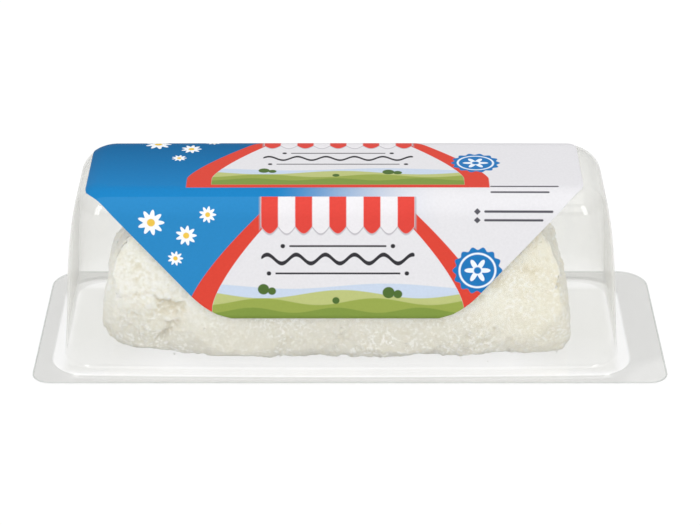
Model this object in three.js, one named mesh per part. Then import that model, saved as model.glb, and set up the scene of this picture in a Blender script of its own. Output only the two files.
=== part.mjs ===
// A log of fresh goat cheese in its clear sealed pack: a thermoformed dome with a stepped foot and a flat
// flange, sealed to a flat base film, a paper label folded over the dome, and the crumbly log inside.
// Millimetres. X runs along the pack, Y from its front to its back, Z up. The origin is on the underside,
// in the middle of the base film.
import * as THREE from "three";
import { ImprovedNoise } from "three/addons/math/ImprovedNoise.js";

// Driving dimensions
const PACK = { length: 160, depth: 59, height: 47.1, frontCorner: 5, backCorner: 8 };
const FILM_THICKNESS = 0.3;
const SHEET_THICKNESS = 0.45;

// The dome sits a little left of the flange's middle, which leaves a wider strip to peel at the right, and
// a little in front of it.
const DOME_MIDDLE = { x: -2.2, y: -1.2 };
// The foot is the low step round the dome, and reach is half of its length and of its depth.
const FOOT = { reachX: 73.8, reachY: 26, corner: 9.5, shelfZ: 1.8, shelfWidth: 2.6, edge: 0.5 };
const WALL = { draft: THREE.MathUtils.degToRad(7), corner: 8.2, foldRadius: 6.5 };
// The long walls swell outwards in the middle of their length, less so at the top. The end walls are full
// at mid height, and straight again where the label lies.
const SWELL = { longWalls: 1.2, longWallsLose: 0.5, endWalls: 1.1, endWallsFlatFrom: 0.93 };

// The label's outline on the unfolded sheet: across is its reach over the dome from the middle line.
const LABEL = { left: -65.6, right: 57.8, thickness: 0.2, gap: 0.16 };
const LABEL_FLAP = {
  shoulderAcross: 12.5,
  bottomAcross: 47.6,
  bottomLeft: -34.2,
  bottomRight: 26.6,
  rounding: 6,
};

const LOG = { left: -63.2, right: 57.2, middleY: -3.3, halfWidth: 16.6, halfHeight: 16.7 };
// The section is rounder above than below, where the log has slumped, and it is widest past its middle.
const LOG_SECTION = { squarenessAbove: 2.5, squarenessBelow: 4, widestAt: 10, widening: 2.2 };
const LOG_BULGES = [
  { x: -30, reach: 15, out: 3 },
  { x: 14, reach: 15, out: 1.8 },
];
const LOG_ENDS = { bluntnessLeft: 7, bluntnessRight: 13, leanLeft: 3.6, leanRight: 8 };
const LOG_RELIEF = { lumps: 1.1, lumpLength: 15, crags: 0.75, cragLength: 5.5 };
const LOG_CLEARANCE = 0.35;

// How finely the surfaces are divided
const STEPS = { corner: 7, longSide: 10, shortSide: 4, wall: 3, fold: 7 };
const LABEL_ROWS = { foldStart: 8.6, foldEnd: 23, fold: 13 };
const LOG_STEPS = { along: 76, end: 9, around: 40 };

const noise = new ImprovedNoise();

// A rounded rectangle of points about its middle, counter-clockwise seen from above. Every loop has the
// same number of points, so that loops can be skinned.
function roundedLoop({ middle, halfX, halfY, frontCorner, backCorner, z }) {
  const arcs = [
    [1, 1, backCorner],
    [-1, 1, backCorner],
    [-1, -1, frontCorner],
    [1, -1, frontCorner],
  ].map(([signX, signY, radius], quarter) => {
    const arc = [];
    for (let step = 0; step <= STEPS.corner; step += 1) {
      const angle = (Math.PI / 2) * (quarter + step / STEPS.corner);
      const x = signX * (halfX - radius) + radius * Math.cos(angle);
      const y = signY * (halfY - radius) + radius * Math.sin(angle);
      arc.push(new THREE.Vector3(middle.x + x, middle.y + y, z));
    }
    return arc;
  });
  return arcs.flatMap((arc, quarter) => {
    const start = arc[arc.length - 1];
    const end = arcs[(quarter + 1) % arcs.length][0];
    const sideSteps = quarter % 2 === 0 ? STEPS.longSide : STEPS.shortSide;
    const side = [];
    for (let step = 1; step < sideSteps; step += 1) {
      side.push(start.clone().lerp(end, step / sideSteps));
    }
    return [...arc, ...side];
  });
}

// The walls' outward swell, by how far a point is along and across the pack and above its base.
function swollen({ x, y, z }) {
  const along = (x - DOME_MIDDLE.x) / FOOT.reachX;
  const across = (y - DOME_MIDDLE.y) / FOOT.reachY;
  const risen = z / PACK.height;
  const outY = SWELL.longWalls * (1 - SWELL.longWallsLose * risen) * Math.max(0, 1 - along * along) * across;
  const outX = SWELL.endWalls * 4 * risen * Math.max(0, 1 - risen / SWELL.endWallsFlatFrom) * along;
  return new THREE.Vector3(x + outX, y + outY, z);
}

// The wall and the fold at its top, as stations of inset from the foot's outline and height. A positive
// offset gives the surface that much further out, and a negative one the inside of the sheet.
function wallStations(offset, wallSteps = STEPS.wall, foldSteps = STEPS.fold) {
  const stations = [];
  const foot = { inset: FOOT.edge + FOOT.shelfWidth + 0.4, z: FOOT.shelfZ + 0.5 };
  const foldCentreZ = PACK.height - WALL.foldRadius;
  const wallTopZ = foldCentreZ + WALL.foldRadius * Math.sin(WALL.draft);
  const wallTopInset = foot.inset + (wallTopZ - foot.z) * Math.tan(WALL.draft);
  const foldCentreInset = wallTopInset + WALL.foldRadius * Math.cos(WALL.draft);
  for (let step = 0; step < wallSteps; step += 1) {
    const share = step / wallSteps;
    stations.push({
      inset: THREE.MathUtils.lerp(foot.inset, wallTopInset, share) - offset * Math.cos(WALL.draft),
      z: THREE.MathUtils.lerp(foot.z, wallTopZ, share) + offset * Math.sin(WALL.draft),
      corner: WALL.corner + offset,
    });
  }
  const radius = WALL.foldRadius + offset;
  for (let step = 0; step <= foldSteps; step += 1) {
    const angle = THREE.MathUtils.lerp(WALL.draft, Math.PI / 2, step / foldSteps);
    const inset = foldCentreInset - radius * Math.cos(angle);
    stations.push({
      inset,
      z: foldCentreZ + radius * Math.sin(angle),
      corner: WALL.corner + wallTopInset - inset,
    });
  }
  return stations;
}

// The foot's step, from the flange up to the shelf and in to the wall. Each station names the direction in
// which an offset moves it, outwards and up.
function footStations(offset) {
  const { edge, shelfWidth, shelfZ, corner } = FOOT;
  const outside = [
    { inset: 0.8 * edge, z: shelfZ - edge, out: 1, up: 0.3 },
    { inset: 1.8 * edge, z: shelfZ, out: 0.4, up: 1 },
    { inset: edge + shelfWidth, z: shelfZ, out: 0.9, up: 1 },
  ];
  return outside.map(({ inset, z, out, up }) => ({
    inset: inset - offset * out,
    z: z + offset * up,
    corner: THREE.MathUtils.lerp(corner, WALL.corner, inset / (edge + shelfWidth)) + offset * out,
  }));
}

function flangeLoop(z) {
  const { length, depth, frontCorner, backCorner } = PACK;
  const middle = { x: 0, y: 0 };
  return roundedLoop({ middle, halfX: length / 2, halfY: depth / 2, frontCorner, backCorner, z });
}

function domeLoop({ inset, z, corner }) {
  const loop = roundedLoop({
    middle: DOME_MIDDLE,
    halfX: FOOT.reachX - inset,
    halfY: FOOT.reachY - inset,
    frontCorner: corner,
    backCorner: corner,
    z,
  });
  return loop.map(swollen);
}

// One closed surface through rings of equal length, with a point at each end.
function skinned(firstPoint, rings, lastPoint) {
  const count = rings[0].length;
  const positions = [firstPoint, ...rings.flat(), lastPoint].flatMap((p) => [p.x, p.y, p.z]);
  const index = [];
  const at = (ring, step) => 1 + ring * count + (step % count);
  const last = 1 + rings.length * count;
  for (let step = 0; step < count; step += 1) {
    index.push(0, at(0, step), at(0, step + 1));
    for (let ring = 0; ring + 1 < rings.length; ring += 1) {
      index.push(at(ring, step), at(ring + 1, step), at(ring + 1, step + 1));
      index.push(at(ring, step), at(ring + 1, step + 1), at(ring, step + 1));
    }
    index.push(at(rings.length - 1, step), last, at(rings.length - 1, step + 1));
  }
  const geometry = new THREE.BufferGeometry();
  geometry.setAttribute("position", new THREE.Float32BufferAttribute(positions, 3));
  geometry.setIndex(index);
  geometry.computeVertexNormals();
  return geometry;
}

// The dome is one sheet: its outside from the top down to the flange's edge, and its inside back up.
function domeGeometry() {
  const flangeTopZ = FILM_THICKNESS + SHEET_THICKNESS;
  const topCentre = (z) => new THREE.Vector3(DOME_MIDDLE.x, DOME_MIDDLE.y, z);
  const shrunkTop = (loop, share, z) => loop.map((p) => topCentre(z).lerp(p, share));

  const outside = [...footStations(0), ...wallStations(0)].map(domeLoop);
  const inside = [...footStations(-SHEET_THICKNESS), ...wallStations(-SHEET_THICKNESS)].map(domeLoop);
  const outerTop = outside[outside.length - 1];
  const innerTop = inside[inside.length - 1];
  const innerTopZ = PACK.height - SHEET_THICKNESS;

  const rings = [
    shrunkTop(outerTop, 0.5, PACK.height),
    ...outside.reverse(),
    domeLoop({ inset: 0, z: flangeTopZ, corner: FOOT.corner }),
    flangeLoop(flangeTopZ),
    flangeLoop(FILM_THICKNESS),
    domeLoop({ inset: SHEET_THICKNESS, z: FILM_THICKNESS, corner: FOOT.corner - SHEET_THICKNESS }),
    ...inside,
    shrunkTop(innerTop, 0.5, innerTopZ),
  ];
  return skinned(topCentre(PACK.height), rings, topCentre(innerTopZ));
}

function baseFilmGeometry() {
  const outline = new THREE.Shape(flangeLoop(0).map((p) => new THREE.Vector2(p.x, p.y)));
  return new THREE.ExtrudeGeometry(outline, { depth: FILM_THICKNESS, bevelEnabled: false });
}

// The dome's cross-section at one x, from its middle line out and down, as [distance out, z].
function sliceAt(x, offset) {
  const fromMiddle = Math.abs(x - DOME_MIDDLE.x);
  const slice = [];
  let below = null;
  for (const station of wallStations(offset, 24, 24)) {
    let { inset, z, corner } = station;
    const isPast = FOOT.reachX - inset < fromMiddle;
    if (isPast) {
      const share = (FOOT.reachX - fromMiddle - below.inset) / (inset - below.inset);
      inset = THREE.MathUtils.lerp(below.inset, inset, share);
      z = THREE.MathUtils.lerp(below.z, z, share);
      corner = THREE.MathUtils.lerp(below.corner, corner, share);
    }
    const halfX = FOOT.reachX - inset;
    const halfY = FOOT.reachY - inset;
    const intoCorner = Math.max(0, fromMiddle - (halfX - corner));
    const out = halfY - corner + Math.sqrt(Math.max(0, corner * corner - intoCorner * intoCorner));
    slice.push([swollen(new THREE.Vector3(x, DOME_MIDDLE.y + out, z)).y - DOME_MIDDLE.y, z]);
    if (isPast) break;
    below = station;
  }
  slice.reverse();
  slice.unshift([0, slice[0][1]]);
  return slice;
}

// The place on the dome's surface, or that far off it, at x and at a distance across from the middle line.
function onDome(x, across, offset) {
  const slice = sliceAt(x, offset);
  const target = Math.abs(across);
  let walked = 0;
  for (let step = 1; step < slice.length; step += 1) {
    const [fromOut, fromZ] = slice[step - 1];
    const [toOut, toZ] = slice[step];
    const length = Math.hypot(toOut - fromOut, toZ - fromZ);
    if (walked + length >= target || step === slice.length - 1) {
      const share = (target - walked) / length;
      const out = THREE.MathUtils.lerp(fromOut, toOut, share);
      const z = THREE.MathUtils.lerp(fromZ, toZ, share);
      return new THREE.Vector3(x, DOME_MIDDLE.y + Math.sign(across) * out, z);
    }
    walked += length;
  }
  throw new Error("the slice is empty");
}

// Where the label's left and right edges are at a distance across. Below the shoulders each side slants in
// to the bottom edge, and a quarter ellipse rounds that corner.
function labelEdges(across) {
  const { shoulderAcross, bottomAcross, bottomLeft, bottomRight, rounding } = LABEL_FLAP;
  const down = Math.max(0, Math.abs(across) - shoulderAcross) / (bottomAcross - shoulderAcross);
  const intoRounding = Math.max(0, Math.abs(across) - (bottomAcross - rounding)) / rounding;
  const pulledIn = 0.75 * rounding * (1 - Math.sqrt(Math.max(0, 1 - intoRounding * intoRounding)));
  return [
    THREE.MathUtils.lerp(LABEL.left, bottomLeft, down) + pulledIn,
    THREE.MathUtils.lerp(LABEL.right, bottomRight, down) - pulledIn,
  ];
}

// The label is a thin sheet that follows the dome: a grid of points on its underside and one on its face.
function labelGeometry() {
  const { shoulderAcross, bottomAcross, rounding } = LABEL_FLAP;
  const half = [0];
  for (let step = 0; step <= LABEL_ROWS.fold; step += 1) {
    half.push(THREE.MathUtils.lerp(LABEL_ROWS.foldStart, LABEL_ROWS.foldEnd, step / LABEL_ROWS.fold));
  }
  half.push((LABEL_ROWS.foldEnd + bottomAcross - rounding) / 2);
  for (let step = 0; step <= 4; step += 1) {
    half.push(bottomAcross - rounding * Math.cos((Math.PI / 2) * (step / 4)));
  }
  const acrosses = [...half.slice(1).reverse().map((a) => -a), ...half];
  const shares = [0, 0.01, 0.022, 0.036, 0.055, 0.1, 0.25, 0.4, 0.55, 0.7, 0.85, 0.93, 0.97, 1];
  const grid = (offset) =>
    acrosses.flatMap((across) => {
      const [left, right] = labelEdges(across);
      return shares.map((share) => onDome(THREE.MathUtils.lerp(left, right, share), across, offset));
    });
  const underside = grid(LABEL.gap);
  const face = grid(LABEL.gap + LABEL.thickness);
  const columns = shares.length;
  const rows = acrosses.length;
  const at = (layer, row, column) => layer * underside.length + row * columns + column;
  const index = [];
  const quad = (a, b, c, d) => index.push(a, b, c, a, c, d);
  for (let row = 0; row + 1 < rows; row += 1) {
    for (let column = 0; column + 1 < columns; column += 1) {
      const corners = [
        [row, column],
        [row, column + 1],
        [row + 1, column + 1],
        [row + 1, column],
      ];
      quad(...corners.map(([r, c]) => at(1, r, c)));
      quad(...corners.reverse().map(([r, c]) => at(0, r, c)));
    }
    quad(at(0, row, 0), at(1, row, 0), at(1, row + 1, 0), at(0, row + 1, 0));
    const end = columns - 1;
    quad(at(0, row, end), at(0, row + 1, end), at(1, row + 1, end), at(1, row, end));
  }
  for (let column = 0; column + 1 < columns; column += 1) {
    quad(at(0, 0, column), at(0, 0, column + 1), at(1, 0, column + 1), at(1, 0, column));
    const end = rows - 1;
    quad(at(0, end, column), at(1, end, column), at(1, end, column + 1), at(0, end, column + 1));
  }
  const positions = [...underside, ...face].flatMap((p) => [p.x, p.y, p.z]);
  const geometry = new THREE.BufferGeometry();
  geometry.setAttribute("position", new THREE.Float32BufferAttribute(positions, 3));
  geometry.setIndex(index);
  geometry.computeVertexNormals();
  return geometry;
}

// The distance from the middle line to the inside of the dome's wall, at x and height z.
function roomBeside(x, z) {
  const slice = sliceAt(x, -SHEET_THICKNESS);
  const wall = slice.filter(([, height]) => height <= z);
  const [out] = wall.length ? wall[0] : slice[slice.length - 1];
  return out;
}

// How far the surface of the cheese stands out of its plain form: broad lumps, and crags where it tore.
function relief(p) {
  const { lumps, lumpLength, crags, cragLength } = LOG_RELIEF;
  const lump = noise.noise(p.x / lumpLength, p.y / lumpLength, p.z / lumpLength);
  const torn = 1 - Math.abs(noise.noise(p.x / cragLength + 7, p.y / cragLength, p.z / cragLength)) * 2.4;
  return lumps * lump * 1.6 - crags * Math.max(0, torn) ** 3;
}

// One point of the log: ring is how far along it is, from -1 to 1, and size how large its section is there.
function logPoint(ring, size, angle) {
  const squareness = Math.sin(angle) > 0 ? LOG_SECTION.squarenessAbove : LOG_SECTION.squarenessBelow;
  const rounded = (value) => Math.sign(value) * Math.abs(value) ** (2 / squareness);
  const outY = rounded(Math.cos(angle));
  const outZ = rounded(Math.sin(angle));
  const halfLength = (LOG.right - LOG.left) / 2;
  const x = (LOG.left + LOG.right) / 2 + halfLength * ring;
  const fromWidest = (x - LOG_SECTION.widestAt) / (halfLength + Math.abs(LOG_SECTION.widestAt));
  const halfWidth = LOG.halfWidth + LOG_SECTION.widening * (1 - fromWidest * fromWidest);
  const p = new THREE.Vector3(
    x,
    LOG.middleY + halfWidth * size * outY,
    FILM_THICKNESS + LOG.halfHeight * (1 + size * outZ),
  );
  const outwards = new THREE.Vector3(ring ** 9, outY * size, outZ * size).normalize();
  p.addScaledVector(outwards, relief(p));
  const heightShare = THREE.MathUtils.clamp(p.z / (2 * LOG.halfHeight), 0, 1.1);
  const lean = ring < 0 ? LOG_ENDS.leanLeft : LOG_ENDS.leanRight;
  p.x -= Math.sign(ring) * lean * heightShare ** 2 * Math.abs(ring) ** 6;
  for (const { x: bulgeX, reach, out } of LOG_BULGES) {
    const toBulge = THREE.MathUtils.clamp(Math.abs(p.x - bulgeX) / reach, 0, 1);
    const share = (0.5 + 0.5 * Math.cos(Math.PI * toBulge)) * Math.max(0, 1 - heightShare * 1.6);
    p.y -= out * share * Math.max(0, -outY) * size;
  }
  const room = roomBeside(p.x, Math.max(p.z, FOOT.shelfZ + 1)) - LOG_CLEARANCE;
  p.y = THREE.MathUtils.clamp(p.y, DOME_MIDDLE.y - room, DOME_MIDDLE.y + room);
  p.z = Math.max(p.z, FILM_THICKNESS + 0.1);
  return p;
}

function logGeometry() {
  const { along, end, around } = LOG_STEPS;
  const endStations = (side, bluntness) => {
    const stations = [];
    const power = 2 / bluntness;
    for (let step = 1; step <= end; step += 1) {
      const angle = (Math.PI / 2) * (step / (end + 1));
      stations.push({ ring: side * Math.cos(angle) ** power, size: Math.sin(angle) ** power });
    }
    return stations;
  };
  const leftEnd = endStations(-1, LOG_ENDS.bluntnessLeft);
  const rightEnd = endStations(1, LOG_ENDS.bluntnessRight).reverse();
  const body = [];
  for (let step = 1; step < along; step += 1) {
    const ring = THREE.MathUtils.lerp(leftEnd[end - 1].ring, rightEnd[0].ring, step / along);
    const bluntness = ring < 0 ? LOG_ENDS.bluntnessLeft : LOG_ENDS.bluntnessRight;
    body.push({ ring, size: (1 - Math.abs(ring) ** bluntness) ** (1 / bluntness) });
  }
  const rings = [...leftEnd, ...body, ...rightEnd].map(({ ring, size }) => {
    const points = [];
    for (let step = 0; step < around; step += 1) {
      points.push(logPoint(ring, size, (-2 * Math.PI * step) / around));
    }
    return points;
  });
  return skinned(logPoint(-1, 0, 0), rings, logPoint(1, 0, 0));
}

const seeThrough = (color, roughness, opacity) =>
  new THREE.MeshStandardMaterial({ color, roughness, transparent: true, opacity });
const finishes = {
  clearSheet: seeThrough(0xe6e8e6, 0.08, 0.3),
  clearFilm: seeThrough(0xe9ebea, 0.15, 0.35),
  paper: new THREE.MeshStandardMaterial({ color: 0xe8e8ec, roughness: 0.35 }),
  cheese: new THREE.MeshStandardMaterial({ color: 0xf1eee0, roughness: 0.75 }),
};

const group = new THREE.Group();
for (const [name, geometry, material] of [
  ["base_film", baseFilmGeometry(), finishes.clearFilm],
  ["dome", domeGeometry(), finishes.clearSheet],
  ["label", labelGeometry(), finishes.paper],
  ["cheese_log", logGeometry(), finishes.cheese],
]) {
  const mesh = new THREE.Mesh(geometry, material);
  mesh.name = name;
  group.add(mesh);
}

export default group;
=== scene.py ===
# A log of fresh goat cheese in its clear sealed pack, in metres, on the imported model's frame. The dome, the
# label and the log are made again here with finer forms. The base film stays as packed.
import math

import bmesh
import bpy
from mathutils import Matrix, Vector, noise


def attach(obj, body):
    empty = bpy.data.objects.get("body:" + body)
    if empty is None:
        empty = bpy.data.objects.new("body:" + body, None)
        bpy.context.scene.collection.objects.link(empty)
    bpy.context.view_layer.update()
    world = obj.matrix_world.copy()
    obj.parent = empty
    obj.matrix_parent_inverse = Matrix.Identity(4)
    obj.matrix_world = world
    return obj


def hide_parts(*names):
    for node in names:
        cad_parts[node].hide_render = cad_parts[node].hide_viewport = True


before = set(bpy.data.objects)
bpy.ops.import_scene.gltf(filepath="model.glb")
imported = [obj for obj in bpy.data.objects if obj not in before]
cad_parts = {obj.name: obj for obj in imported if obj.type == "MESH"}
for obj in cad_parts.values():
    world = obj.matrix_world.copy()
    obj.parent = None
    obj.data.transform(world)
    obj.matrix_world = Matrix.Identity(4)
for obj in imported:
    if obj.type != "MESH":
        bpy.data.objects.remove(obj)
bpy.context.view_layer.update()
scene = bpy.context.scene

MM = 0.001


# ---- camera: as far and as high as the photograph's, a long lens pitched down at the pack

SENSOR_WIDTH, LENS, PITCH_DOWN = 36.0, 124.34, 28.0
CAMERA_PLACE = (0.0, -0.54954, 0.31117)

camera_data = bpy.data.cameras.new("studio_camera")
camera_data.sensor_width = SENSOR_WIDTH
camera_data.lens = LENS
camera = bpy.data.objects.new("studio_camera", camera_data)
camera.location = CAMERA_PLACE
camera.rotation_euler = (math.radians(90.0 - PITCH_DOWN), 0.0, 0.0)
scene.collection.objects.link(camera)
scene.camera = camera


# ---- sizes in millimetres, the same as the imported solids'

PACK_LENGTH, PACK_DEPTH, PACK_HEIGHT = 160.0, 59.0, 47.1
FRONT_CORNER, BACK_CORNER = 5.0, 8.0
DOME_X, DOME_Y = -2.2, -1.2
FOOT_REACH_X, FOOT_REACH_Y, FOOT_CORNER = 73.8, 26.0, 9.5
SHELF_Z, SHELF_WIDTH, SHELF_EDGE = 1.8, 2.6, 0.5
WALL_INSET = 2 * SHELF_EDGE + SHELF_WIDTH
DRAFT = math.radians(7.0)
WALL_CORNER, FOLD_RADIUS = 8.2, 6.5
LONG_SWELL, LONG_SWELL_LOST, END_SWELL = 1.2, 0.5, 1.5
FLANGE_TOP, SHEET = 0.74, 0.38
FILM_TOP = 0.3

LABEL_LEFT, LABEL_RIGHT = -65.6, 57.8
LABEL_SHOULDER, LABEL_BOTTOM = 12.5, 47.6
LABEL_BOTTOM_LEFT, LABEL_BOTTOM_RIGHT, LABEL_ROUNDING = -34.2, 26.6, 6.0
LABEL_STANDS_OFF, PAPER = 0.22, 0.12


# ---- helpers

def srgb(code):
    """An sRGB hex colour as linear RGBA."""
    def linear(value):
        return value / 12.92 if value <= 0.04045 else ((value + 0.055) / 1.055) ** 2.4
    return (*(linear(int(code[i:i + 2], 16) / 255) for i in (0, 2, 4)), 1.0)


def add(tree, kind, inputs=None, **settings):
    """Adds one node, sets its properties and sockets, and links what feeds it: a socket, or a node's first output."""
    node = tree.nodes.new(kind)
    for name, value in settings.items():
        setattr(node, name, value)
    for key, value in (inputs or {}).items():
        if isinstance(value, bpy.types.Node):
            value = value.outputs[0]
        if isinstance(value, bpy.types.NodeSocket):
            tree.links.new(value, node.inputs[key])
        else:
            node.inputs[key].default_value = value
    return node


def laid_over(tree, base, *layers):
    """A base colour with others laid over it in turn, each as (colour, mask). A colour is a hex code or comes from
    a node."""
    for colour, mask in layers:
        below, above = (srgb(c) if isinstance(c, str) else c for c in (base, colour))
        base = add(tree, "ShaderNodeMix", {0: mask, 6: below, 7: above}, data_type="RGBA").outputs[2]
    return base


def new_material(name):
    """An empty material with its node tree and its output node."""
    material = bpy.data.materials.new(name)
    material.use_nodes = True
    material.node_tree.nodes.clear()
    output = add(material.node_tree, "ShaderNodeOutputMaterial")
    return material, material.node_tree, output


def blend(low, high, share):
    return low + (high - low) * share


def stretch(value, low, high):
    """0 below low, 1 above high, and smooth between them."""
    share = min(1.0, max(0.0, (value - low) / (high - low)))
    return share * share * (3.0 - 2.0 * share)


def finish_piece(name, mesh, materials, replaces=()):
    """Puts a finished mesh in the scene as a piece that rides with the pack."""
    for material in materials:
        mesh.materials.append(material)
    piece = bpy.data.objects.new(name, mesh)
    scene.collection.objects.link(piece)
    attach(piece, "root")
    if replaces:
        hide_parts(*replaces)
    return piece


def evaluated_mesh(obj):
    """The mesh that an object's modifiers give, as a plain mesh, with the object then removed."""
    mesh = bpy.data.meshes.new_from_object(obj.evaluated_get(bpy.context.evaluated_depsgraph_get()))
    bpy.data.objects.remove(obj)
    return mesh


# ---- the dome's form: rings of points from the flange's edge to the middle of the top

CORNER_STEPS, LONG_STEPS, SHORT_STEPS = 14, 30, 8
FORMED, SEALED, CUT_EDGE = 0, 1, 2


def rounded_loop(middle, half_x, half_y, front_corner, back_corner, z):
    """A rounded rectangle of points, counter-clockwise seen from above."""
    arcs = []
    quarters = ((1, 1, back_corner), (-1, 1, back_corner), (-1, -1, front_corner), (1, -1, front_corner))
    for quarter, (sign_x, sign_y, radius) in enumerate(quarters):
        arc = []
        for step in range(CORNER_STEPS + 1):
            angle = math.pi / 2 * (quarter + step / CORNER_STEPS)
            arc.append(Vector((
                middle[0] + sign_x * (half_x - radius) + radius * math.cos(angle),
                middle[1] + sign_y * (half_y - radius) + radius * math.sin(angle),
                z,
            )))
        arcs.append(arc)
    points = []
    for quarter, arc in enumerate(arcs):
        following = arcs[(quarter + 1) % 4][0]
        side_steps = SHORT_STEPS if quarter % 2 else LONG_STEPS
        points += arc
        points += [arc[-1].lerp(following, step / side_steps) for step in range(1, side_steps)]
    return points


def end_swell(z):
    """How far an end wall stands out at a height, most at two thirds of the way up."""
    risen = min(1.0, z / PACK_HEIGHT)
    most = 27 / 4
    return END_SWELL * most * risen * risen * (1 - risen)


def swollen(point):
    """The walls' outward swell: the long walls in the middle of their length, the ends above mid height."""
    x, y, z = point
    along = (x - DOME_X) / FOOT_REACH_X
    across = (y - DOME_Y) / FOOT_REACH_Y
    out_y = LONG_SWELL * (1 - LONG_SWELL_LOST * z / PACK_HEIGHT) * max(0.0, 1 - along * along) * across
    return Vector((x + end_swell(z) * along, y + out_y, z))


def wall_stations(wall_steps, fold_steps, offset=0.0):
    """The wall and the fold at its top, each as (inset from the foot's outline, height, corner radius)."""
    # the wall rises out of the hollow that ends the foot's step
    foot_inset, foot_z = WALL_INSET - 0.1, SHELF_Z + 0.5
    fold_z = PACK_HEIGHT - FOLD_RADIUS
    top_z = fold_z + FOLD_RADIUS * math.sin(DRAFT)
    top_inset = foot_inset + (top_z - foot_z) * math.tan(DRAFT)
    fold_inset = top_inset + FOLD_RADIUS * math.cos(DRAFT)
    stations = []
    for step in range(wall_steps):
        share = step / wall_steps
        stations.append((
            blend(foot_inset, top_inset, share) - offset * math.cos(DRAFT),
            blend(foot_z, top_z, share) + offset * math.sin(DRAFT),
            WALL_CORNER + offset,
        ))
    for step in range(fold_steps + 1):
        angle = blend(DRAFT, math.pi / 2, step / fold_steps)
        inset = fold_inset - (FOLD_RADIUS + offset) * math.cos(angle)
        z = fold_z + (FOLD_RADIUS + offset) * math.sin(angle)
        stations.append((inset, z, WALL_CORNER + top_inset - inset))
    return stations


def dome_loop(inset, z, corner):
    half_x, half_y = FOOT_REACH_X - inset, FOOT_REACH_Y - inset
    return [swollen(p) for p in rounded_loop((DOME_X, DOME_Y), half_x, half_y, corner, corner, z)]


def flange_loop(inset, z):
    return rounded_loop(
        (0.0, 0.0), PACK_LENGTH / 2 - inset, PACK_DEPTH / 2 - inset, FRONT_CORNER - inset, BACK_CORNER - inset, z,
    )


def foot_stations():
    """The foot's step, with a soft hollow at its base, a rounded edge, and a hollow up into the wall."""
    profile = (
        (-0.25, FLANGE_TOP), (-0.05, FLANGE_TOP + 0.06), (0.08, FLANGE_TOP + 0.26), (0.18, SHELF_Z - 0.42),
        (0.36, SHELF_Z - 0.15), (0.7, SHELF_Z - 0.02), (1.1, SHELF_Z), (SHELF_WIDTH, SHELF_Z + 0.02),
        (SHELF_WIDTH + 0.55, SHELF_Z + 0.1), (SHELF_WIDTH + 0.8, SHELF_Z + 0.28),
    )
    return [(inset, z, blend(FOOT_CORNER, WALL_CORNER, max(0.0, inset) / WALL_INSET)) for inset, z in profile]


def sheet_mesh(name, rings, middle, zones):
    """An open sheet through rings of equal length, closed by a fan at its middle. A zone gives the material
    of the faces from one ring on."""
    count = len(rings[0])
    vertices = [p * MM for ring in rings for p in ring] + [middle * MM]
    faces = []
    for ring in range(len(rings) - 1):
        for step in range(count):
            following = (step + 1) % count
            faces.append((
                ring * count + step, ring * count + following,
                (ring + 1) * count + following, (ring + 1) * count + step,
            ))
    last = (len(rings) - 1) * count
    faces += [(last + step, last + (step + 1) % count, len(vertices) - 1) for step in range(count)]
    mesh = bpy.data.meshes.new(name)
    mesh.from_pydata(vertices, [], faces)
    for polygon in mesh.polygons:
        polygon.material_index = [zone for first_ring, zone in zones if polygon.index >= first_ring * count][-1]
    mesh.shade_smooth()
    return mesh


def thickened(name, mesh, thickness, inner_material=0):
    """A sheet given its thickness on its inner side, as a closed plain mesh. The inner side and the rim may
    take another of the piece's materials."""
    raw = bpy.data.objects.new(name, mesh)
    scene.collection.objects.link(raw)
    solidify = raw.modifiers.new("thickness", "SOLIDIFY")
    solidify.thickness = thickness * MM
    solidify.offset = -1.0
    solidify.material_offset = inner_material
    solidify.material_offset_rim = inner_material
    return evaluated_mesh(raw)


def dome_mesh():
    """The whole sheet: the flange with its rounded cut edge, the foot's step, the wall, the fold and the top."""
    cut_edge_profile = ((0.0, 0.28), (0.03, 0.12), (0.14, 0.02), (0.35, 0.0))
    rings = [flange_loop(inset, FLANGE_TOP - down) for inset, down in cut_edge_profile]
    rings += [dome_loop(*station) for station in foot_stations()]
    rings += [dome_loop(*station) for station in wall_stations(16, 16)]
    top = rings[-1]
    middle = Vector((DOME_X, DOME_Y, PACK_HEIGHT))
    rings += [[middle.lerp(p, share) for p in top] for share in (0.94, 0.8, 0.5, 0.2)]
    # the flange and the bend up from it are sealed to the film, and the rest is only formed
    zones = ((0, CUT_EDGE), (3, SEALED), (7, FORMED))
    return thickened("dome_sheet", sheet_mesh("dome_surface", rings, middle, zones), SHEET)


# ---- places on the dome, for the label that is folded over it

def dome_slice(x, offset):
    """The dome's cross-section at x, from its middle line out and down, as (distance out, z)."""
    line = []
    below = None
    for inset, z, corner in wall_stations(24, 24, offset):
        from_middle = abs(x - DOME_X) / (1 + end_swell(z) / FOOT_REACH_X)
        past = FOOT_REACH_X - inset < from_middle
        if past:
            share = (FOOT_REACH_X - from_middle - below[0]) / (inset - below[0])
            inset, z, corner = (blend(a, b, share) for a, b in zip(below, (inset, z, corner)))
        into_corner = max(0.0, from_middle - (FOOT_REACH_X - inset - corner))
        out = FOOT_REACH_Y - inset - corner + math.sqrt(max(0.0, corner ** 2 - into_corner ** 2))
        line.append((swollen(Vector((x, DOME_Y + out, z))).y - DOME_Y, z))
        if past:
            break
        below = (inset, z, corner)
    line.reverse()
    return [(0.0, line[0][1])] + line


def on_dome(x, across, offset):
    """The place on the dome, or that far off it, at x and at a distance across from the middle line."""
    line = dome_slice(x, offset)
    walked = 0.0
    for step in range(1, len(line)):
        (out_a, z_a), (out_b, z_b) = line[step - 1], line[step]
        length = math.hypot(out_b - out_a, z_b - z_a)
        if walked + length >= abs(across) or step == len(line) - 1:
            share = (abs(across) - walked) / length
            out = blend(out_a, out_b, share)
            return Vector((x, DOME_Y + math.copysign(out, across), blend(z_a, z_b, share)))
        walked += length


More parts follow.
